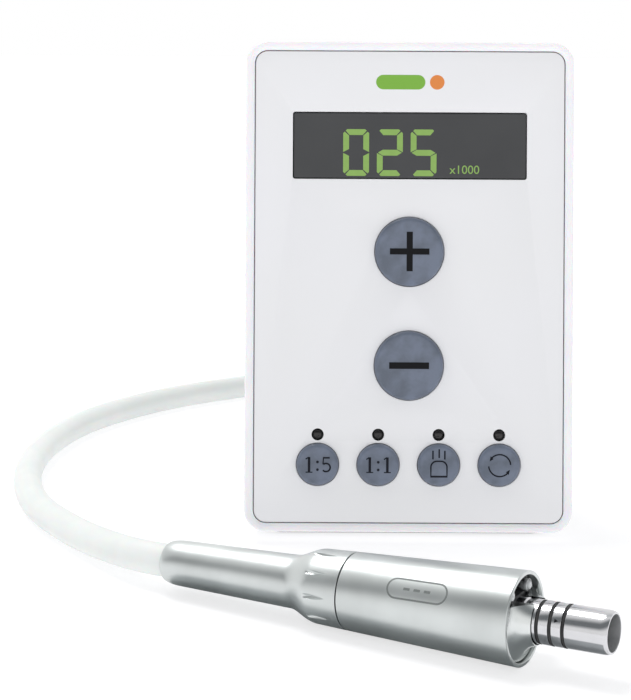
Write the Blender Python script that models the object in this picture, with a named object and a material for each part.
"""Dental electric micromotor set: a desk console, the motor, and the hose that joins them.

World frame: +X to the right, +Y away from the operator, +Z up, in metres. The origin is the
centre of the underside of the console's base pad. The motor lies on its side in front of the
console, and the hose that runs to it lies beside and behind the console.
"""

from math import atan2, cos, pi, radians, sin, tan

import bmesh
import bpy
from mathutils import Matrix, Vector

# Clearance kept between touching pieces
FIT = 0.0003

# Console face: a leaning rectangle with rounded corners
LEAN = radians(10.6)
FACE_WIDTH = 0.0900
FACE_HEIGHT = 0.1345
FACE_CORNER = 0.0060
FRAME_DEPTH = 0.0090
FRAME_RIM = 0.0024
FRAME_ROUNDING = 0.0016
LEDGE_WIDTH = 0.0030
LEDGE_THICKNESS = 0.0018
PANEL_RECESS = 0.0003
PANEL_THICKNESS = 0.0018

# Console housing, from the frame back to a vertical rear wall
HOUSING_DEPTH = 0.0549
HOUSING_WALL = 0.0022
REAR_INSET = 0.0020
REAR_TOP_DROP = 0.0060
REAR_ROUNDING = 0.0045
PAD_THICKNESS = 0.0014
PAD_SIZE = (0.0780, 0.0340)
PAD_CORNER = 0.0040

# Face layout, measured from the centre of the face
WINDOW_SIZE = (0.0642, 0.0184)
WINDOW_UP = 0.0388
WINDOW_THICKNESS = 0.0015
LARGE_BUTTON_RADIUS = 0.00965
PLUS_UP = 0.0097
MINUS_UP = -0.0215
SMALL_BUTTON_RADIUS = 0.00595
SMALL_BUTTON_UP = -0.0487
SMALL_BUTTON_PITCH = 0.0166
LAMP_UP = -0.0405
LAMP_HOLE_RADIUS = 0.00165
BUTTON_PROUD = 0.0012
BUTTON_ROUNDING = 0.0009
BUTTON_TRAVEL = 0.0010
BUTTON_FLANGE = 0.0010
BUTTON_LIP = 0.0006
STEM_RADIUS = 0.0015

# Boards and what is on them
BOARD_THICKNESS = 0.0016
BOARD_MARGIN = 0.0062
BOARD_CORNER = 0.0020
BOARD_GAP = 0.0002
SWITCH_BODY = 0.0060
SWITCH_BODY_HEIGHT = 0.0028
SWITCH_PLUNGER_RADIUS = 0.0017
SWITCH_PLUNGER_HEIGHT = 0.0005
DISPLAY_MODULE_SIZE = (0.0560, 0.0160)
DRIVER_BOARD_SIZE = (0.0560, 0.0600)
DRIVER_BOARD_UP = 0.0700
DRIVER_STANDOFF = 0.0050
SENSOR_SIZE = 0.0110
SENSOR_HEIGHT = 0.0060
RIBBON_WIDTH = 0.0200
RIBBON_THICKNESS = 0.0006
RIBBON_BEND = 0.0060

# Case screws and their wells
SCREW_RISE = 0.0123
SCREW_RADIUS = 0.0015
SCREW_LENGTH = 0.0090
SCREW_HEAD_RADIUS = 0.0028
SCREW_HEAD_HEIGHT = 0.0020
POST_RADIUS = 0.0036
POST_REACH = 0.0050
WELL_WALL = 0.0012
WELL_SEAT = 0.0025
# Far enough in for a post to clear the tapering side wall
SCREW_INSET = HOUSING_WALL + FIT + POST_RADIUS + REAR_INSET * 0.35

# Fittings on the rear wall, as offsets to the right and heights
GLAND_PLACE = (0.0265, 0.0210)
GLAND_FLANGE_RADIUS = 0.0078
GLAND_LENGTH = 0.0260
GLAND_SOCKET = 0.0080
UNIT_PLACE = (0.0060, 0.0200)
UNIT_RADIUS = 0.0062
UNIT_LENGTH = 0.0085
POWER_PLACE = (-0.0240, 0.0200)
POWER_RADIUS = 0.0040
FLANGE_THICKNESS = 0.0020

# Motor, with heights along its own axis from the plane of the front rim
RIM_CENTRE = (0.0208, -0.1151)
HEADING = radians(30.9)
RIM_RADIUS = 0.0107
SEAM_RADIUS = 0.0092
BODY_LENGTH = 0.0430
CASE_WALL = 0.0010
CASE_END_WALL = 0.0015
RIM_LIP = 0.0009
FRONT_BORE_DEPTH = 0.0050
FLANGE_LENGTH = 0.0030
NOSE_RADIUS = 0.0049
NOSE_LENGTH = 0.0205
NOSE_BORE = 0.0033
TIP_BORE = 0.0041
TIP_BORE_DEPTH = 0.0068
TIP_ROUNDING = 0.0006
GROOVE_PLACES = (0.0045, 0.0075, 0.0105)
RING_THICKNESS = 0.0007
CONE_HEIGHT = 0.0034
CONE_CUT = 0.0046
EYE_PLACE = (0.0062, 0.0046)
EYE_RADIUS = 0.0014
POCKET_DEPTH = 0.0023
SHAFT_RADIUS = 0.0015
BEARING_RADIUS = 0.0046
BEARING_RACE = 0.0010
BEARING_WIDTH = 0.0030
ROTOR_RADIUS = 0.0043
SHAFT_COLLAR_RADIUS = 0.0026
DOG_RADIUS = 0.0026
DOG_LENGTH = 0.0100
DOG_START = 0.0025
DOG_SLOT = 0.0014
SPRING_WIRE = 0.00015
SPRING_TURNS = 3
THREAD_CORE = 0.0071
SPIGOT_LENGTH = 0.0095
PIN_RADIUS = 0.0005
PIN_CIRCLE = 0.0030
PIN_LENGTH = 0.0032

# Coupling nut: collar with finger scoops, running into a long hose sleeve
COLLAR_LENGTH = 0.0077
COLLAR_END_RADIUS = 0.0089
BLEND_LENGTH = 0.0085
SLEEVE_START_RADIUS = 0.0064
SLEEVE_END_RADIUS = 0.0056
NUT_LENGTH = 0.0527
SCOOPS = 10
SCOOP_LENGTH = 0.0060
SCOOP_DEPTH = 0.0005
FITTING_FLANGE = 0.0023
FITTING_NECK = 0.0049
FITTING_NECK_LENGTH = 0.0070
SEAL_THICKNESS = 0.0006

# Hose: one length of silicone tube, part of it put away in a coil behind the console
HOSE_RADIUS = 0.0042
# The coil lies behind the console, this far from its rear wall
COIL_RIGHT = 0.0080
COIL_BEHIND = 0.09685
COIL_INNER = 0.0298
COIL_OUTER = 0.0562
COIL_HEIGHT = 0.0170
# From the gland to the coil, as offsets from the middle of the gland's end
LEAD_ROUTE = (
    (0, 0.00075 - GLAND_SOCKET, 0),
    (0, -0.00045, 0),
    (0.0007, 0.00655, -0.0005),
    (0.0019, 0.01255, -0.0014),
)
# From the coil round the left of the console to the motor, laid for a coil at ROUTE_COIL_Y
ROUTE_COIL_Y = 0.1240
RUN_ROUTE = (
    (-0.0300, 0.1730, 0.0043),
    (-0.0440, 0.1665, 0.0043),
    (-0.0570, 0.1580, 0.0043),
    (-0.0700, 0.1480, 0.0043),
    (-0.0830, 0.1355, 0.0043),
    (-0.0940, 0.1210, 0.0043),
    (-0.1025, 0.1065, 0.0043),
    (-0.1087, 0.0910, 0.0043),
    (-0.1128, 0.0745, 0.0043),
    (-0.1148, 0.0580, 0.0043),
    (-0.1149, 0.0395, 0.0043),
    (-0.1128, 0.0210, 0.0043),
    (-0.1086, 0.0035, 0.0043),
    (-0.1025, -0.0120, 0.0043),
    (-0.0955, -0.0245, 0.0044),
    (-0.0880, -0.0360, 0.0047),
    (-0.0800, -0.0475, 0.0056),
    (-0.0717, -0.0580, 0.0067),
)

FACE_CENTRE = (
    Vector((0, 0, 0))
    + Vector((0, -HOUSING_DEPTH / 2 - FIT, 0))
    + Vector((0, sin(LEAN), cos(LEAN))) * FACE_HEIGHT / 2
    + Vector((0, 0, PAD_THICKNESS + FIT + (FRAME_DEPTH + FIT) * sin(LEAN)))
)
REAR_Y = HOUSING_DEPTH / 2 - FIT
COIL_CENTRE = (COIL_RIGHT, REAR_Y + COIL_BEHIND)
BASE_Z = PAD_THICKNESS + FIT
BOARD_FRONT = FRAME_DEPTH + FIT + BOARD_GAP


def face_y(height, depth):
    """World Y of the plane that lies depth behind the face, at a world height."""
    return FACE_CENTRE.y + (height - FACE_CENTRE.z) * tan(LEAN) + depth / cos(LEAN)


def clear_scene():
    for old in list(bpy.data.objects):
        bpy.data.objects.remove(old, do_unlink=True)


def make_material(name, colour, roughness, metallic=0.0):
    made = bpy.data.materials.new(name)
    made.use_nodes = True
    shader = made.node_tree.nodes["Principled BSDF"]
    shader.inputs["Base Color"].default_value = (*colour, 1.0)
    shader.inputs["Roughness"].default_value = roughness
    shader.inputs["Metallic"].default_value = metallic
    return made


def make_empty(name, matrix):
    empty = bpy.data.objects.new(name, None)
    bpy.context.collection.objects.link(empty)
    empty.matrix_world = matrix
    return empty


def add_object(name, bm, parent, place, material, sharp=radians(35)):
    """Turns a bmesh into a named object at a place in its parent's frame."""
    bmesh.ops.recalc_face_normals(bm, faces=bm.faces)
    mesh = bpy.data.meshes.new(name)
    bm.to_mesh(mesh)
    bm.free()
    mesh.shade_smooth()
    mesh.set_sharp_from_angle(angle=sharp)
    made = bpy.data.objects.new(name, mesh)
    bpy.context.collection.objects.link(made)
    made.parent = parent
    made.location = place
    if material is not None:
        mesh.materials.append(material)
    return made


def boolean(target, tool, operation="DIFFERENCE"):
    tool.hide_render = True
    tool.display_type = "WIRE"
    modifier = target.modifiers.new(tool.name, "BOOLEAN")
    modifier.operation = operation
    modifier.object = tool


def turn(bm, profile, segments, centre=(0, 0)):
    """Adds the solid that a (height, radius) outline sweeps about a line along Z.

    An outline that starts on the axis ends on it; one that stays off the axis closes on itself.
    """
    rings = []
    for height, radius in profile:
        if radius == 0:
            rings.append([bm.verts.new((centre[0], centre[1], height))])
            continue
        angles = [2 * pi * i / segments for i in range(segments)]
        rings.append(
            [
                bm.verts.new((centre[0] + radius * cos(a), centre[1] + radius * sin(a), height))
                for a in angles
            ]
        )
    following = rings[1:] + (rings[:1] if profile[0][1] > 0 else [])
    for ring, after in zip(rings, following):
        for i in range(segments):
            j = (i + 1) % segments
            corners = [ring[i % len(ring)], ring[j % len(ring)]]
            corners += [after[j % len(after)], after[i % len(after)]]
            bm.faces.new(list(dict.fromkeys(corners)))


def turned(name, profile, parent, place, material, segments=20):
    bm = bmesh.new()
    turn(bm, profile, segments)
    return add_object(name, bm, parent, place, material)


def loft(bm, loops, ring=False):
    """Skins a stack of point loops; a ring joins the last loop to the first, others get caps."""
    rows = [[bm.verts.new(point) for point in loop] for loop in loops]
    for row, after in zip(rows, rows[1:] + (rows[:1] if ring else [])):
        for i in range(len(row)):
            j = (i + 1) % len(row)
            bm.faces.new((row[i], row[j], after[j], after[i]))
    if not ring:
        bm.faces.new(rows[0])
        bm.faces.new(rows[-1])


def rounded(width, height, corner, depth=0.0, centre=(0, 0), steps=3):
    """Points of a rectangle with round corners, at one height along Z."""
    points = []
    for quarter in range(4):
        side_x = (1, -1, -1, 1)[quarter]
        side_y = (1, 1, -1, -1)[quarter]
        for step in range(steps + 1):
            angle = pi / 2 * (quarter + step / steps)
            x = side_x * (width / 2 - corner) + corner * cos(angle)
            y = side_y * (height / 2 - corner) + corner * sin(angle)
            points.append(Vector((centre[0] + x, centre[1] + y, depth)))
    return points


def plate(name, size, corner, back, front, parent, place, material):
    bm = bmesh.new()
    loft(bm, [rounded(*size, corner, back), rounded(*size, corner, front)])
    return add_object(name, bm, parent, place, material)


def quarter_round(outer, inner, radius, steps=2):
    """(height, radius) points of a rounded edge, from the outer side up to the top face."""
    angles = [pi / 2 * step / steps for step in range(steps + 1)]
    return [(inner - radius * (1 - sin(a)), outer - radius * (1 - cos(a))) for a in angles]


def smooth_route(points, spacing):
    """Even points along a Catmull-Rom curve through a hand-chosen route."""
    points = [Vector(p) for p in points]
    padded = [2 * points[0] - points[1]] + points + [2 * points[-1] - points[-2]]
    dense = []
    for a, b, c, d in zip(padded, padded[1:], padded[2:], padded[3:]):
        for step in range(20):
            t = step / 20
            dense.append(
                0.5
                * (
                    2 * b
                    + (c - a) * t
                    + (2 * a - 5 * b + 4 * c - d) * t * t
                    + (3 * b - 3 * c + d - a) * t * t * t
                )
            )
    dense.append(points[-1])
    travelled = [0.0]
    for before, after in zip(dense, dense[1:]):
        travelled.append(travelled[-1] + (after - before).length)
    count = max(2, round(travelled[-1] / spacing))
    even = []
    for step in range(count + 1):
        wanted = travelled[-1] * step / count
        i = max(k for k in range(len(dense) - 1) if travelled[k] <= wanted)
        share = (wanted - travelled[i]) / (travelled[i + 1] - travelled[i])
        even.append(dense[i].lerp(dense[i + 1], share))
    return even


def tube(name, points, radius, material):
    """A round tube with filled ends along a list of points."""
    curve = bpy.data.curves.new(name, "CURVE")
    curve.dimensions = "3D"
    curve.bevel_depth = radius
    curve.bevel_resolution = 2
    curve.use_fill_caps = True
    spline = curve.splines.new("POLY")
    spline.points.add(len(points) - 1)
    for target, point in zip(spline.points, points):
        target.co = (*point, 1.0)
    curve.materials.append(material)
    made = bpy.data.objects.new(name, curve)
    bpy.context.collection.objects.link(made)
    return made


def build_front(face, rear, paint):
    """Frame, panel, window and the buttons and lamps that show on the face."""
    ledge = PANEL_RECESS + PANEL_THICKNESS + FIT
    loops = []
    for height, half in quarter_round(FACE_WIDTH / 2, 0.0, FRAME_ROUNDING):
        inset = FACE_WIDTH / 2 - half
        loops.append((inset, height))
    loops += [
        (FRAME_RIM, 0.0),
        (FRAME_RIM, -ledge),
        (FRAME_RIM + LEDGE_WIDTH, -ledge),
        (FRAME_RIM + LEDGE_WIDTH, -ledge - LEDGE_THICKNESS),
        (FRAME_RIM, -ledge - LEDGE_THICKNESS),
        (FRAME_RIM, -FRAME_DEPTH),
        (0.0, -FRAME_DEPTH),
    ]
    bm = bmesh.new()
    rows = []
    for inset, height in loops:
        corner = max(FACE_CORNER - inset, 0.0005)
        rows.append(rounded(FACE_WIDTH - 2 * inset, FACE_HEIGHT - 2 * inset, corner, height))
    loft(bm, rows, ring=True)
    frame = add_object("front_frame", bm, face, (0, 0, 0), paint["frame"])
    posts = bmesh.new()
    bores = bmesh.new()
    for x, height in screw_places():
        end = face_y(height, FRAME_DEPTH) + POST_REACH - REAR_Y
        start = face_y(height, ledge + LEDGE_THICKNESS / 2) - REAR_Y
        turn(posts, [(start, 0), (start, POST_RADIUS), (end, POST_RADIUS), (end, 0)], 12, (x, -height))
        bore = SCREW_RADIUS + FIT
        bottom = end - SCREW_LENGTH + WELL_SEAT
        turn(bores, [(bottom, 0), (bottom, bore), (end + 0.001, bore), (end + 0.001, 0)], 12, (x, -height))
    boolean(frame, add_object("frame_posts", posts, rear, (0, 0, 0), None), "UNION")
    boolean(frame, add_object("frame_post_bores", bores, rear, (0, 0, 0), None))

    gap = FRAME_RIM + FIT
    front = -PANEL_RECESS
    back = front - PANEL_THICKNESS
    size = (FACE_WIDTH - 2 * gap, FACE_HEIGHT - 2 * gap)
    panel = plate("front_panel", size, FACE_CORNER - gap, back, front, face, (0, 0, 0), paint["panel"])
    holes = bmesh.new()
    reach = (back - 0.001, front + 0.001)
    window_hole = [rounded(*WINDOW_SIZE, 0.0006, z, (0, WINDOW_UP)) for z in reach]
    loft(holes, window_hole)
    round_holes = [(x, y, radius + FIT) for _, x, y, radius in button_places()]
    round_holes += [(x, LAMP_UP, LAMP_HOLE_RADIUS) for x in small_button_columns()]
    for x, y, radius in round_holes:
        segments = round_segments(radius)
        outline = [(reach[0], 0), (reach[0], radius), (reach[1], radius), (reach[1], 0)]
        turn(holes, outline, segments, (x, y))
    boolean(panel, add_object("panel_holes", holes, face, (0, 0, 0), None))

    size = (WINDOW_SIZE[0] - 2 * FIT, WINDOW_SIZE[1] - 2 * FIT)
    top = front
    bottom = front - WINDOW_THICKNESS
    plate("display_window", size, 0.0004, bottom, top, face, (0, WINDOW_UP, 0), paint["window"])

    flange_top = back - FIT
    flange_bottom = flange_top - BUTTON_FLANGE
    stem_end = switch_heights()[2] + BUTTON_TRAVEL + FIT
    for name, x, y, radius in button_places():
        edge = quarter_round(radius, BUTTON_PROUD, BUTTON_ROUNDING)
        outline = [(BUTTON_PROUD, 0)] + edge[::-1]
        outline += [
            (flange_top, radius),
            (flange_top, radius + BUTTON_LIP),
            (flange_bottom, radius + BUTTON_LIP),
            (flange_bottom, STEM_RADIUS),
            (stem_end, STEM_RADIUS),
            (stem_end, 0),
        ]
        turned(name, outline, face, (x, y, 0), paint["button"], round_segments(radius))

    radius = LAMP_HOLE_RADIUS - FIT
    top = front - 0.0002
    outline = [(top, 0), (top - 0.0003, radius * 0.8), (top - 0.0009, radius)]
    outline += [(-BOARD_FRONT + FIT, radius), (-BOARD_FRONT + FIT, 0)]
    segments = round_segments(LAMP_HOLE_RADIUS)
    for number, x in enumerate(small_button_columns(), 1):
        turned(f"status_lamp_{number}", outline, face, (x, LAMP_UP, 0), paint["lamp"], segments)


def round_segments(radius):
    """Sides of a round piece on the face, the same for a button and the hole around it."""
    return 10 if radius < 0.003 else 16 if radius < 0.008 else 24


def switch_heights():
    """Foot, shoulder and plunger top of a push switch, along the face's normal."""
    foot = -BOARD_FRONT + FIT
    shoulder = foot + SWITCH_BODY_HEIGHT
    return foot, shoulder, shoulder + SWITCH_PLUNGER_HEIGHT


def small_button_columns():
    return [SMALL_BUTTON_PITCH * (column - 1.5) for column in range(4)]


def button_places():
    """(name, x, y, radius) of every push button on the face."""
    places = [
        ("plus_button", 0.0, PLUS_UP, LARGE_BUTTON_RADIUS),
        ("minus_button", 0.0, MINUS_UP, LARGE_BUTTON_RADIUS),
    ]
    names = ("ratio_five_button", "ratio_one_button", "light_button", "direction_button")
    for name, x in zip(names, small_button_columns()):
        places.append((name, x, SMALL_BUTTON_UP, SMALL_BUTTON_RADIUS))
    return places


def rear_top():
    return FACE_CENTRE.z + FACE_HEIGHT / 2 * cos(LEAN) - REAR_TOP_DROP


def screw_places():
    """(x, height) of the four case screws, the upper pair as high as the flat of the wall lets them."""
    x = FACE_WIDTH / 2 - SCREW_INSET
    high = rear_top() - REAR_ROUNDING - SCREW_HEAD_RADIUS - FIT - WELL_WALL
    return [(side * x, height) for height in (BASE_Z + SCREW_RISE, high) for side in (-1, 1)]


def build_electronics(face, rear, paint):
    """Main board with its switches and display, and the motor driver on the rear wall."""
    width = FACE_WIDTH - 2 * (SCREW_INSET + POST_RADIUS + FIT)
    size = (width, FACE_HEIGHT - 2 * BOARD_MARGIN)
    back = -BOARD_FRONT - BOARD_THICKNESS
    plate("main_board", size, BOARD_CORNER, back, -BOARD_FRONT, face, (0, 0, 0), paint["board"])

    foot, shoulder, top = switch_heights()
    for name, x, y, _ in button_places():
        bm = bmesh.new()
        square = [rounded(SWITCH_BODY, SWITCH_BODY, 0.0003, z, steps=3) for z in (foot, shoulder)]
        disc = []
        for z in (shoulder, top):
            angles = [2 * pi * (i - 1.5) / 16 + pi / 4 for i in range(16)]
            r = SWITCH_PLUNGER_RADIUS
            disc.append([Vector((r * cos(a), r * sin(a), z)) for a in angles])
        loft(bm, square + disc)
        add_object(name.replace("_button", "_switch"), bm, face, (x, y, 0), paint["switch"])

    top = -PANEL_RECESS - WINDOW_THICKNESS - 2 * FIT
    place = (0, WINDOW_UP, 0)
    plate("display_module", DISPLAY_MODULE_SIZE, 0.0006, foot, top, face, place, paint["switch"])

    # The rear empty has +Z out of the wall and +Y down, so heights are negative there.
    inside = -HOUSING_WALL
    board_back = inside - DRIVER_STANDOFF
    board_front = board_back - BOARD_THICKNESS
    place = (0, -DRIVER_BOARD_UP, 0)
    plate("driver_board", DRIVER_BOARD_SIZE, 0.0010, board_front, board_back, rear, place, paint["board"])
    base = board_front - FIT
    tip = base - SENSOR_HEIGHT
    bm = bmesh.new()
    loops = [rounded(SENSOR_SIZE, SENSOR_SIZE, 0.0010, z, steps=3) for z in (base, tip)]
    barb = [rounded(0.0040, 0.0040, 0.0019, z, steps=3) for z in (tip, tip - 0.0035)]
    loft(bm, loops + barb)
    add_object("pressure_sensor", bm, rear, (0.016, -DRIVER_BOARD_UP + 0.018, 0), paint["switch"])

    # A flat ribbon leaves the main board, drops in one bend and reaches the driver board.
    height = DRIVER_BOARD_UP - 0.012
    near = face_y(height, BOARD_FRONT + BOARD_THICKNESS + 2 * FIT)
    far = REAR_Y + board_front - FIT
    middle = (near + far) / 2
    path = [(near, height), (middle - RIBBON_THICKNESS, height)]
    for step in range(1, 7):
        angle = pi * step / 6
        path.append((middle - RIBBON_THICKNESS * cos(angle), height - RIBBON_BEND * sin(angle)))
    path.append((far, height))
    bm = bmesh.new()
    half = RIBBON_WIDTH / 2
    rows = []
    for i, (y, z) in enumerate(path):
        before = Vector(path[max(i - 1, 0)])
        after = Vector(path[min(i + 1, len(path) - 1)])
        along = (after - before).normalized()
        side = Vector((-along.y, along.x)) * RIBBON_THICKNESS / 2
        rows.append(
            [
                Vector((-half, y + side.x, z + side.y)),
                Vector((half, y + side.x, z + side.y)),
                Vector((half, y - side.x, z - side.y)),
                Vector((-half, y - side.x, z - side.y)),
            ]
        )
    loft(bm, rows)
    add_object("ribbon_cable", bm, None, (0, 0, 0), paint["switch"])


def housing_loops(inset):
    """Loops of the housing's skin, from the front edge to the rear wall, moved in by inset."""
    loops = []
    width = FACE_WIDTH - 2 * inset
    height = FACE_HEIGHT - 2 * inset
    outline = rounded(width, height, FACE_CORNER - inset, -FRAME_DEPTH - FIT)
    up = Vector((0, sin(LEAN), cos(LEAN)))
    out = Vector((0, -cos(LEAN), sin(LEAN)))
    loops.append([FACE_CENTRE + Vector((p.x, 0, 0)) + up * p.y + out * p.z for p in outline])
    rear_width = FACE_WIDTH - 2 * REAR_INSET
    rear_height = rear_top() - BASE_Z
    middle = BASE_Z + rear_height / 2
    for step in range(4):
        angle = pi / 2 * step / 3
        pulled = inset + REAR_ROUNDING * (1 - cos(angle))
        y = REAR_Y - inset - REAR_ROUNDING * (1 - sin(angle))
        corner = max(FACE_CORNER + REAR_INSET - pulled, 0.0006)
        outline = rounded(rear_width - 2 * pulled, rear_height - 2 * pulled, corner)
        loops.append([Vector((p.x, y, middle + p.y)) for p in outline])
    return loops


def build_housing(rear, paint):
    """Rear shell with its screw wells, board pegs and openings, the base pad and the screws."""
    bm = bmesh.new()
    outer = [[bm.verts.new(p) for p in loop] for loop in housing_loops(0.0)]
    inner = [[bm.verts.new(p) for p in loop] for loop in housing_loops(HOUSING_WALL)]
    skins = list(zip(outer, outer[1:])) + list(zip(inner, inner[1:])) + [(outer[0], inner[0])]
    for row, after in skins:
        for i in range(len(row)):
            j = (i + 1) % len(row)
            bm.faces.new((row[i], row[j], after[j], after[i]))
    bm.faces.new(outer[-1])
    bm.faces.new(inner[-1])
    housing = add_object("rear_housing", bm, None, (0, 0, 0), paint["housing"])

    wells = bmesh.new()
    bores = bmesh.new()
    well = SCREW_HEAD_RADIUS + FIT
    for x, height in screw_places():
        start = face_y(height, FRAME_DEPTH) + POST_REACH + FIT - REAR_Y
        inside = -HOUSING_WALL / 2
        wall = well + WELL_WALL
        turn(wells, [(start, 0), (start, wall), (inside, wall), (inside, 0)], 12, (x, -height))
        seat = start + WELL_SEAT
        bore = SCREW_RADIUS + FIT
        outline = [(start - 0.001, 0), (start - 0.001, bore), (seat, bore), (seat, well)]
        outline += [(0.001, well), (0.001, 0)]
        turn(bores, outline, 12, (x, -height))
    peg_end = -HOUSING_WALL - DRIVER_STANDOFF + FIT
    for side in (-1, 1):
        for level in (-1, 1):
            place = (
                side * (DRIVER_BOARD_SIZE[0] / 2 - 0.004),
                -DRIVER_BOARD_UP + level * (DRIVER_BOARD_SIZE[1] / 2 - 0.004),
            )
            turn(wells, [(peg_end, 0), (peg_end, 0.002), (inside, 0.002), (inside, 0)], 8, place)
    boolean(housing, add_object("housing_wells", wells, rear, (0, 0, 0), None), "UNION")
    boolean(housing, add_object("housing_well_bores", bores, rear, (0, 0, 0), None))
    fittings = bmesh.new()
    for (x, height), radius in (
        (GLAND_PLACE, GLAND_FLANGE_RADIUS - 0.0015),
        (UNIT_PLACE, UNIT_RADIUS),
        (POWER_PLACE, POWER_RADIUS),
    ):
        hole = radius + FIT
        outline = [(-0.004, 0), (-0.004, hole), (0.001, hole), (0.001, 0)]
        turn(fittings, outline, 16, (x, -height))
    boolean(housing, add_object("housing_holes", fittings, rear, (0, 0, 0), None))

    plate("base_pad", PAD_SIZE, PAD_CORNER, 0.0, PAD_THICKNESS, None, (0, 0, 0), paint["rubber"])

    for number, (x, height) in enumerate(screw_places(), 1):
        seat = face_y(height, FRAME_DEPTH) + POST_REACH + FIT + WELL_SEAT + FIT - REAR_Y
        top = seat + SCREW_HEAD_HEIGHT
        outline = [
            (top - 0.0010, 0),
            (top - 0.0010, SCREW_RADIUS * 0.8),
            (top, SCREW_RADIUS * 0.8),
            (top, SCREW_HEAD_RADIUS),
            (seat, SCREW_HEAD_RADIUS),
            (seat, SCREW_RADIUS),
            (seat - SCREW_LENGTH, SCREW_RADIUS),
            (seat - SCREW_LENGTH, 0),
        ]
        turned(f"case_screw_{number}", outline, rear, (x, -height, 0), paint["steel"], 12)


def build_rear_fittings(rear, paint):
    """Hose gland, four-hole inlet from the dental unit, and the power inlet."""
    flange = FIT
    flange_end = FIT + FLANGE_THICKNESS
    end = flange + GLAND_LENGTH
    neck = GLAND_FLANGE_RADIUS - 0.0015
    bore = HOSE_RADIUS + FIT
    outline = [
        (end, HOSE_RADIUS + 0.0014),
        (flange_end + 0.004, neck),
        (flange_end, neck),
        (flange_end, GLAND_FLANGE_RADIUS),
        (flange, GLAND_FLANGE_RADIUS),
        (flange, neck),
        (-HOUSING_WALL - 0.003, neck),
        (-HOUSING_WALL - 0.003, bore * 0.7),
        (end - GLAND_SOCKET, bore * 0.7),
        (end - GLAND_SOCKET, bore),
        (end, bore),
    ]
    turned("hose_gland", outline, rear, (GLAND_PLACE[0], -GLAND_PLACE[1], 0), paint["rubber"], 16)

    outline = [
        (UNIT_LENGTH, 0),
        (UNIT_LENGTH, UNIT_RADIUS - 0.0006),
        (UNIT_LENGTH - 0.0006, UNIT_RADIUS),
        (flange_end, UNIT_RADIUS),
        (flange_end, UNIT_RADIUS + 0.0022),
        (flange, UNIT_RADIUS + 0.0022),
        (flange, UNIT_RADIUS),
        (-0.0100, UNIT_RADIUS),
        (-0.0100, 0),
    ]
    place = (UNIT_PLACE[0], -UNIT_PLACE[1], 0)
    inlet = turned("unit_inlet", outline, rear, place, paint["steel"], 16)
    ports = bmesh.new()
    reach = UNIT_RADIUS * 0.5
    for x, y, radius in (
        (0, reach, 0.0013),
        (0, -reach, 0.0013),
        (reach, 0, 0.0009),
        (-reach, 0, 0.0009),
    ):
        outline = [(0.002, 0), (0.002, radius), (UNIT_LENGTH + 0.001, radius), (UNIT_LENGTH + 0.001, 0)]
        turn(ports, outline, 8, (x, y))
    boolean(inlet, add_object("unit_inlet_ports", ports, rear, place, None))

    pin_top = flange_end - 0.0010
    socket = flange_end - 0.0090
    outline = [
        (pin_top, 0),
        (pin_top, 0.0010),
        (socket, 0.0010),
        (socket, POWER_RADIUS - 0.0012),
        (flange_end, POWER_RADIUS - 0.0012),
        (flange_end, POWER_RADIUS + 0.0012),
        (flange, POWER_RADIUS + 0.0012),
        (flange, POWER_RADIUS),
        (-0.0120, POWER_RADIUS),
        (-0.0120, 0),
    ]
    place = (POWER_PLACE[0], -POWER_PLACE[1], 0)
    turned("power_inlet", outline, rear, place, paint["switch"], 16)


def motor_matrix():
    """Frame of the motor: +Z out of the nose, +X up, lying on the taper of its casing."""
    tilt = atan2(RIM_RADIUS - SEAM_RADIUS, BODY_LENGTH)
    forward = Vector((cos(HEADING) * cos(tilt), -sin(HEADING) * cos(tilt), sin(tilt)))
    sideways = forward.cross(Vector((0, 0, 1))).normalized()
    up = sideways.cross(forward)
    centre = Vector((*RIM_CENTRE, RIM_RADIUS * cos(tilt)))
    turned_to = Matrix((up, forward.cross(up), forward)).transposed().to_4x4()
    return Matrix.Translation(centre) @ turned_to


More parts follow.
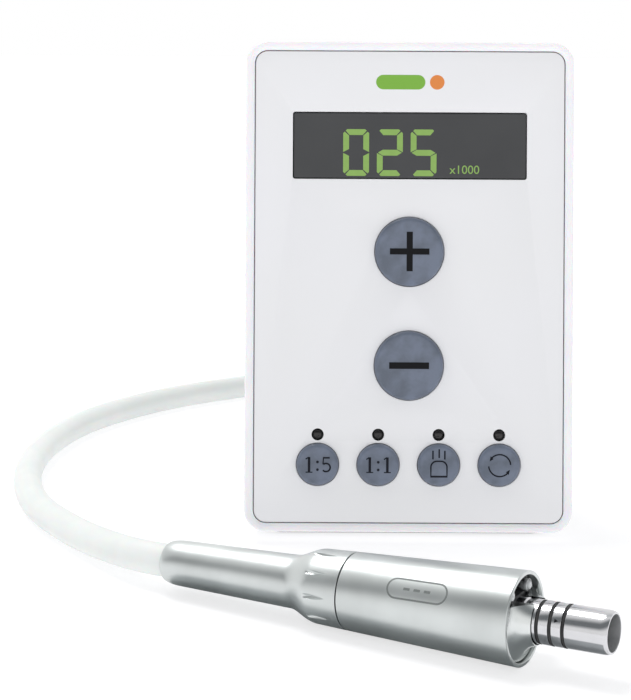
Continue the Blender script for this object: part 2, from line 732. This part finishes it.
def build_motor(motor, paint):
    """Casing, nose, bearings, stator, rotor and drive dog."""
    here = (0, 0, 0)
    bore = SEAM_RADIUS - CASE_WALL
    front_bore = RIM_RADIUS - RIM_LIP
    thread_hole = THREAD_CORE + FIT
    outline = [
        (0.0, RIM_RADIUS - 0.0002),
        (-0.0002, RIM_RADIUS),
        (-BODY_LENGTH, SEAM_RADIUS),
        (-BODY_LENGTH, thread_hole),
        (-BODY_LENGTH + CASE_END_WALL, thread_hole),
        (-BODY_LENGTH + CASE_END_WALL, bore),
        (-FRONT_BORE_DEPTH, bore),
        (-FRONT_BORE_DEPTH, front_bore),
        (0.0, front_bore),
    ]
    turned("motor_casing", outline, motor, here, paint["satin"], 28)

    flange_back = -FRONT_BORE_DEPTH + FIT
    flange_front = flange_back + FLANGE_LENGTH
    seat = BEARING_RADIUS + FIT
    spigot_back = flange_back - BEARING_WIDTH - 0.0010
    outline = [
        (flange_front, front_bore - FIT),
        (flange_back, front_bore - FIT),
        (flange_back, bore - FIT),
        (spigot_back, bore - FIT),
        (spigot_back, seat),
        (flange_back - 0.0004, seat),
        (flange_back - 0.0004, NOSE_BORE),
        (NOSE_LENGTH - TIP_BORE_DEPTH, NOSE_BORE),
        (NOSE_LENGTH - TIP_BORE_DEPTH, TIP_BORE),
        (NOSE_LENGTH, TIP_BORE),
    ]
    outline += quarter_round(NOSE_RADIUS, NOSE_LENGTH, TIP_ROUNDING)[::-1]
    half_groove = RING_THICKNESS / 2 + FIT
    groove_floor = NOSE_RADIUS - RING_THICKNESS - FIT
    for place in reversed(GROOVE_PLACES):
        outline += [
            (place + half_groove, NOSE_RADIUS),
            (place + half_groove, groove_floor),
            (place - half_groove, groove_floor),
            (place - half_groove, NOSE_RADIUS),
        ]
    outline.append((flange_front, NOSE_RADIUS))
    nose = turned("coupling_nose", outline, motor, here, paint["chrome"])
    pocket = bmesh.new()
    reach = (flange_front - POCKET_DEPTH, flange_front + 0.001)
    low = NOSE_RADIUS + 0.0004
    high = EYE_PLACE[0] + 0.0022
    middle = ((low + high) / 2, 0)
    loft(pocket, [rounded(high - low, EYE_PLACE[1] * 1.45, 0.0003, z, middle, 2) for z in reach])
    boolean(nose, add_object("nose_pocket", pocket, motor, here, None))
    sockets = bmesh.new()
    hole = EYE_RADIUS + FIT
    for side in (-1, 1):
        outline = [(reach[0], 0), (reach[0], hole), (reach[1], hole), (reach[1], 0)]
        turn(sockets, outline, 12, (EYE_PLACE[0] + 0.0001, side * EYE_PLACE[1]))
    boolean(nose, add_object("nose_eye_sockets", sockets, motor, here, None))

    ring_radius = NOSE_RADIUS - RING_THICKNESS / 2
    for number, place in enumerate(GROOVE_PLACES, 1):
        outline = []
        for step in range(5):
            angle = 2 * pi * step / 5
            half = RING_THICKNESS / 2
            outline.append((place + half * sin(angle), ring_radius + half * cos(angle)))
        turned(f"nose_o_ring_{number}", outline, motor, here, paint["rubber"])

    cone_back = flange_front + FIT
    inner = NOSE_RADIUS + FIT
    outline = [
        (cone_back, inner),
        (cone_back, front_bore - FIT),
        (cone_back + 0.0008, front_bore - FIT),
        (CONE_HEIGHT * 0.62, inner + 0.0011),
        (CONE_HEIGHT * 0.85, inner + 0.0004),
        (CONE_HEIGHT, inner),
    ]
    cone = turned("front_cone", outline[::-1], motor, here, paint["satin"], 28)
    slab = bmesh.new()
    reach = (cone_back - 0.001, CONE_HEIGHT + 0.001)
    middle = (CONE_CUT + 0.005, 0)
    loft(slab, [rounded(0.010, 3 * RIM_RADIUS, 0.0003, z, middle, 2) for z in reach])
    boolean(cone, add_object("cone_cut", slab, motor, here, None))

    eye_back = flange_front - POCKET_DEPTH + FIT
    outline = [(eye_back, EYE_RADIUS), (eye_back, 0)]
    outline = [(-0.0006, 0), (-0.0007, EYE_RADIUS * 0.6), (-0.0012, EYE_RADIUS)] + outline
    for name, side in (("lamp_left", -1), ("lamp_right", 1)):
        turned(name, outline, motor, (EYE_PLACE[0] + 0.0001, side * EYE_PLACE[1], 0), paint["clear"], 12)

    plug_front = -BODY_LENGTH + CASE_END_WALL + FIT + 0.0050
    plug_shoulder = -BODY_LENGTH + CASE_END_WALL + FIT
    spigot_end = -BODY_LENGTH - SPIGOT_LENGTH
    pilot = SHAFT_RADIUS + FIT
    rear_seat = plug_front - BEARING_WIDTH - FIT
    outline = [
        (rear_seat - 0.0012, 0),
        (rear_seat - 0.0012, pilot),
        (rear_seat, pilot),
        (rear_seat, seat),
        (plug_front, seat),
        (plug_front, bore - FIT),
        (plug_shoulder, bore - FIT),
        (plug_shoulder, THREAD_CORE),
        (spigot_end, THREAD_CORE),
        (spigot_end, 0),
    ]
    turned("rear_plug", outline, motor, here, paint["steel"])

    front_seat = flange_back - 0.0004 - FIT
    race_in = SHAFT_RADIUS + FIT
    for name, top in (("front", front_seat), ("rear", plug_front)):
        low = top - BEARING_WIDTH
        for part, inside in (("outer", BEARING_RADIUS - BEARING_RACE), ("inner", race_in)):
            outside = inside + BEARING_RACE
            outline = [(top, outside), (low, outside), (low, inside), (top, inside)]
            turned(f"{name}_bearing_{part}", outline, motor, here, paint["steel"], 16)

    stator_front = spigot_back - 0.0010
    stator_back = plug_front + 0.0010
    outline = [
        (stator_front, bore - FIT),
        (stator_back, bore - FIT),
        (stator_back, ROTOR_RADIUS + 0.0004),
        (stator_front, ROTOR_RADIUS + 0.0004),
    ]
    turned("stator", outline, motor, here, paint["copper"])

    dog_end = DOG_START + DOG_LENGTH
    collar = DOG_START - 0.0040
    outline = [
        (dog_end - 0.0030, 0),
        (dog_end - 0.0030, SHAFT_RADIUS),
        (collar + 0.0010, SHAFT_RADIUS),
        (collar + 0.0010, SHAFT_COLLAR_RADIUS),
        (collar, SHAFT_COLLAR_RADIUS),
        (collar, SHAFT_RADIUS),
        (stator_front - 0.0008, SHAFT_RADIUS),
        (stator_front - 0.0008, ROTOR_RADIUS),
        (stator_back + 0.0008, ROTOR_RADIUS),
        (stator_back + 0.0008, SHAFT_RADIUS),
        (rear_seat - 0.0008, SHAFT_RADIUS),
        (rear_seat - 0.0008, 0),
    ]
    turned("rotor", outline, motor, here, paint["steel"], 16)

    outline = [
        (dog_end, DOG_RADIUS - 0.0003),
        (dog_end - 0.0003, DOG_RADIUS),
        (DOG_START, DOG_RADIUS),
        (DOG_START, SHAFT_RADIUS + FIT),
        (dog_end, SHAFT_RADIUS + FIT),
    ]
    dog = turned("drive_dog", outline, motor, here, paint["steel"], 16)
    slot = bmesh.new()
    reach = (dog_end - 0.0026, dog_end + 0.001)
    loft(slot, [rounded(DOG_SLOT, 3 * DOG_RADIUS, 0.0002, z, steps=2) for z in reach])
    boolean(dog, add_object("dog_slot", slot, motor, here, None))

    low = collar + 0.0010 + FIT + SPRING_WIRE
    high = DOG_START - FIT - SPRING_WIRE
    steps = 12 * SPRING_TURNS
    mean = SHAFT_RADIUS + FIT + SPRING_WIRE + 0.0003
    bm = bmesh.new()
    rows = []
    for step in range(steps + 1):
        angle = 2 * pi * SPRING_TURNS * step / steps
        height = low + (high - low) * step / steps
        row = []
        for corner in range(5):
            round_wire = 2 * pi * corner / 5
            radius = mean + SPRING_WIRE * cos(round_wire)
            lift = height + SPRING_WIRE * sin(round_wire)
            row.append(Vector((radius * cos(angle), radius * sin(angle), lift)))
        rows.append(row)
    loft(bm, rows)
    add_object("dog_spring", bm, motor, here, paint["steel"])

    pin_top = spigot_end - FIT
    outline = [(pin_top, 0), (pin_top, PIN_RADIUS), (pin_top - PIN_LENGTH, PIN_RADIUS)]
    outline.append((pin_top - PIN_LENGTH, 0))
    for number, (x, y) in enumerate(pin_places(), 1):
        turned(f"contact_pin_{number}", outline, motor, (x, y, 0), paint["gold"], 8)


def pin_places():
    angles = [pi / 4 + pi / 2 * number for number in range(4)]
    return [(PIN_CIRCLE * cos(a), PIN_CIRCLE * sin(a)) for a in angles]


def build_hose_end(motor, paint):
    """Coupling nut and sleeve, the fitting inside it, and the seal between the two halves."""
    here = (0, 0, 0)
    front = -BODY_LENGTH - FIT
    seal_top = -BODY_LENGTH - SPIGOT_LENGTH - FIT
    face = seal_top - SEAL_THICKNESS - FIT
    flange_back = face - FITTING_FLANGE
    neck_back = flange_back - FITTING_NECK_LENGTH
    flange_radius = THREAD_CORE - 0.0001
    thread = THREAD_CORE + FIT
    outline = [
        (seal_top, flange_radius - 0.0004),
        (seal_top - SEAL_THICKNESS, flange_radius - 0.0004),
        (seal_top - SEAL_THICKNESS, PIN_CIRCLE + PIN_RADIUS + 0.0015),
        (seal_top, PIN_CIRCLE + PIN_RADIUS + 0.0015),
    ]
    turned("fitting_seal", outline, motor, here, paint["rubber"], 16)

    outline = [
        (face, 0),
        (face, flange_radius),
        (flange_back, flange_radius),
        (flange_back, FITTING_NECK),
        (neck_back, FITTING_NECK),
        (neck_back, 0),
    ]
    fitting = turned("hose_fitting", outline, motor, here, paint["steel"])
    sockets = bmesh.new()
    hole = PIN_RADIUS + FIT
    for x, y in pin_places():
        outline = [(face - PIN_LENGTH, 0), (face - PIN_LENGTH, hole), (face + 0.001, hole)]
        turn(sockets, outline + [(face + 0.001, 0)], 8, (x, y))
    boolean(fitting, add_object("fitting_sockets", sockets, motor, here, None))

    collar_end = front - COLLAR_LENGTH
    sleeve_start = collar_end - BLEND_LENGTH
    tail = front - NUT_LENGTH
    hose_bore = HOSE_RADIUS + FIT + 0.0001
    outline = [(front, thread), (front, SEAM_RADIUS), (collar_end, COLLAR_END_RADIUS)]
    for step in range(1, 6):
        share = step / 5
        ease = (1 - cos(pi * share)) / 2
        radius = COLLAR_END_RADIUS + (SLEEVE_START_RADIUS - COLLAR_END_RADIUS) * ease
        outline.append((collar_end - BLEND_LENGTH * share, radius))
    outline += [
        (tail + 0.0008, SLEEVE_END_RADIUS),
        (tail + 0.0002, SLEEVE_END_RADIUS - 0.0003),
        (tail, hose_bore + 0.0003),
        (tail, hose_bore),
        (neck_back - FIT, hose_bore),
        (neck_back - FIT, FITTING_NECK + FIT),
        (flange_back - FIT, FITTING_NECK + FIT),
        (flange_back - FIT, thread),
    ]
    nut = turned("coupling_nut", outline, motor, here, paint["satin"], 28)
    scoops = bmesh.new()
    sphere_radius = (SCOOP_LENGTH / 2) ** 2 / (2 * SCOOP_DEPTH)
    middle = collar_end + 0.0012
    skin = COLLAR_END_RADIUS + (SEAM_RADIUS - COLLAR_END_RADIUS) * 0.15
    narrow = 0.0009 / (sphere_radius * 2 * SCOOP_DEPTH) ** 0.5
    for number in range(SCOOPS):
        angle = 2 * pi * (number + 0.45) / SCOOPS
        spin = Matrix.Rotation(angle, 4, "Z")
        shift = Matrix.Translation((skin + sphere_radius - SCOOP_DEPTH, 0, middle))
        thin = Matrix.Diagonal((1, narrow, 1, 1))
        bmesh.ops.create_uvsphere(
            scoops, u_segments=16, v_segments=14, radius=sphere_radius, matrix=spin @ shift @ thin
        )
    boolean(nut, add_object("nut_scoops", scoops, motor, here, None))
    return neck_back


def build_hose(motor, neck_back, paint):
    """Hose runs as plain tubes and the coil as one turned ring."""
    spacing = HOSE_RADIUS * 5
    right, height = GLAND_PLACE
    gland_end = Vector((right, REAR_Y + FIT + GLAND_LENGTH, height))
    lead = [gland_end + Vector(offset) for offset in LEAD_ROUTE]
    tube("hose_lead", smooth_route(lead, spacing / 2), HOSE_RADIUS, paint["hose"])
    frame = motor_matrix()
    tail = -BODY_LENGTH - FIT - NUT_LENGTH
    mouth, inner_end = [frame @ Vector((0, 0, z)) for z in (tail - FIT, neck_back - 2 * FIT)]
    stretch = (COIL_CENTRE[1] - mouth.y) / (ROUTE_COIL_Y - mouth.y)
    laid = [(x, mouth.y + (y - mouth.y) * stretch, z) for x, y, z in RUN_ROUTE]
    run = smooth_route([*laid, mouth], spacing) + [inner_end]
    tube("hose_run", run, HOSE_RADIUS, paint["hose"])
    low = HOSE_RADIUS * 0.02
    edge = 0.0020
    outline = [
        (low, COIL_INNER + edge),
        (low + edge, COIL_INNER),
        (COIL_HEIGHT - edge, COIL_INNER),
        (COIL_HEIGHT, COIL_INNER + edge),
        (COIL_HEIGHT, COIL_OUTER - edge),
        (COIL_HEIGHT - edge, COIL_OUTER),
        (low + edge, COIL_OUTER),
        (low, COIL_OUTER - edge),
    ]
    turned("hose_coil", outline, None, (*COIL_CENTRE, 0), paint["hose"], 28)


def main():
    clear_scene()
    paint = {
        "frame": make_material("frosted_frame", (0.85, 0.85, 0.87), 0.35),
        "panel": make_material("pale_panel", (0.78, 0.78, 0.79), 0.45),
        "housing": make_material("white_housing", (0.82, 0.82, 0.82), 0.5),
        "window": make_material("smoked_window", (0.07, 0.07, 0.075), 0.1),
        "button": make_material("slate_button", (0.13, 0.16, 0.21), 0.35),
        "lamp": make_material("dark_lamp", (0.02, 0.02, 0.02), 0.2),
        "rubber": make_material("dark_rubber", (0.03, 0.03, 0.03), 0.7),
        "board": make_material("board_green", (0.03, 0.16, 0.06), 0.5),
        "switch": make_material("black_plastic", (0.02, 0.02, 0.02), 0.5),
        "steel": make_material("turned_steel", (0.55, 0.55, 0.56), 0.3, 1.0),
        "satin": make_material("satin_alloy", (0.72, 0.73, 0.73), 0.35, 1.0),
        "chrome": make_material("bright_chrome", (0.8, 0.8, 0.81), 0.08, 1.0),
        "copper": make_material("copper_winding", (0.6, 0.25, 0.1), 0.4, 1.0),
        "gold": make_material("gold_contact", (0.8, 0.6, 0.2), 0.25, 1.0),
        "clear": make_material("clear_lens", (0.9, 0.9, 0.92), 0.05),
        "hose": make_material("grey_silicone", (0.72, 0.75, 0.73), 0.5),
    }
    up = Vector((0, sin(LEAN), cos(LEAN)))
    out = Vector((0, -cos(LEAN), sin(LEAN)))
    leaning = Matrix((Vector((1, 0, 0)), up, out)).transposed().to_4x4()
    face = make_empty("console_face", Matrix.Translation(FACE_CENTRE) @ leaning)
    backward = Matrix.Rotation(-pi / 2, 4, "X")
    rear = make_empty("console_rear", Matrix.Translation((0, REAR_Y, 0)) @ backward)
    motor = make_empty("motor_axis", motor_matrix())

    build_front(face, rear, paint)
    build_electronics(face, rear, paint)
    build_housing(rear, paint)
    build_rear_fittings(rear, paint)
    build_motor(motor, paint)
    neck_back = build_hose_end(motor, paint)
    build_hose(motor, neck_back, paint)


main()
